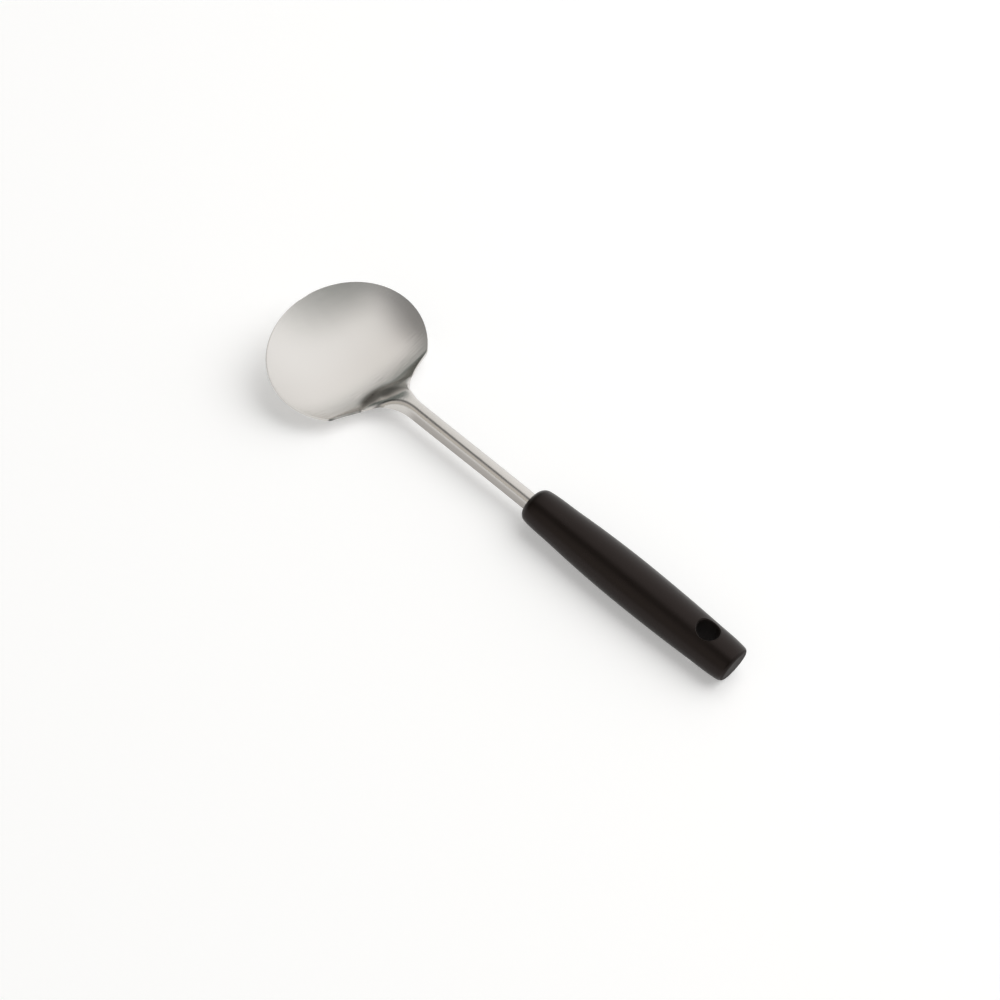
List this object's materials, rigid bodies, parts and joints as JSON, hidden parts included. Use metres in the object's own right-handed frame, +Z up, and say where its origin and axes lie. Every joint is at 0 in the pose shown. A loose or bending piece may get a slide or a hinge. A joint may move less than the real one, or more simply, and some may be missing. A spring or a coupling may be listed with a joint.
{
  "type": "wok turner",
  "caption": "Steel turner with a round dished head pressed in one with its neck and channel shaft, and a black barrel handle with a hanging hole.",
  "frame": {"origin": "on the table, under the middle of the part's box", "axes": "+X along the turner from the tip of the head to the end of the handle, +Y across the head, +Z up from the table into the open side of the dish"},
  "size_m": [0.3206, 0.1116, 0.0289],
  "materials": {
    "steel": "satin",
    "grip": "satin"
  },
  "bodies": {
    "root": {"head_and_shaft": "steel", "handle": "grip"}
  },
  "joints": []
}
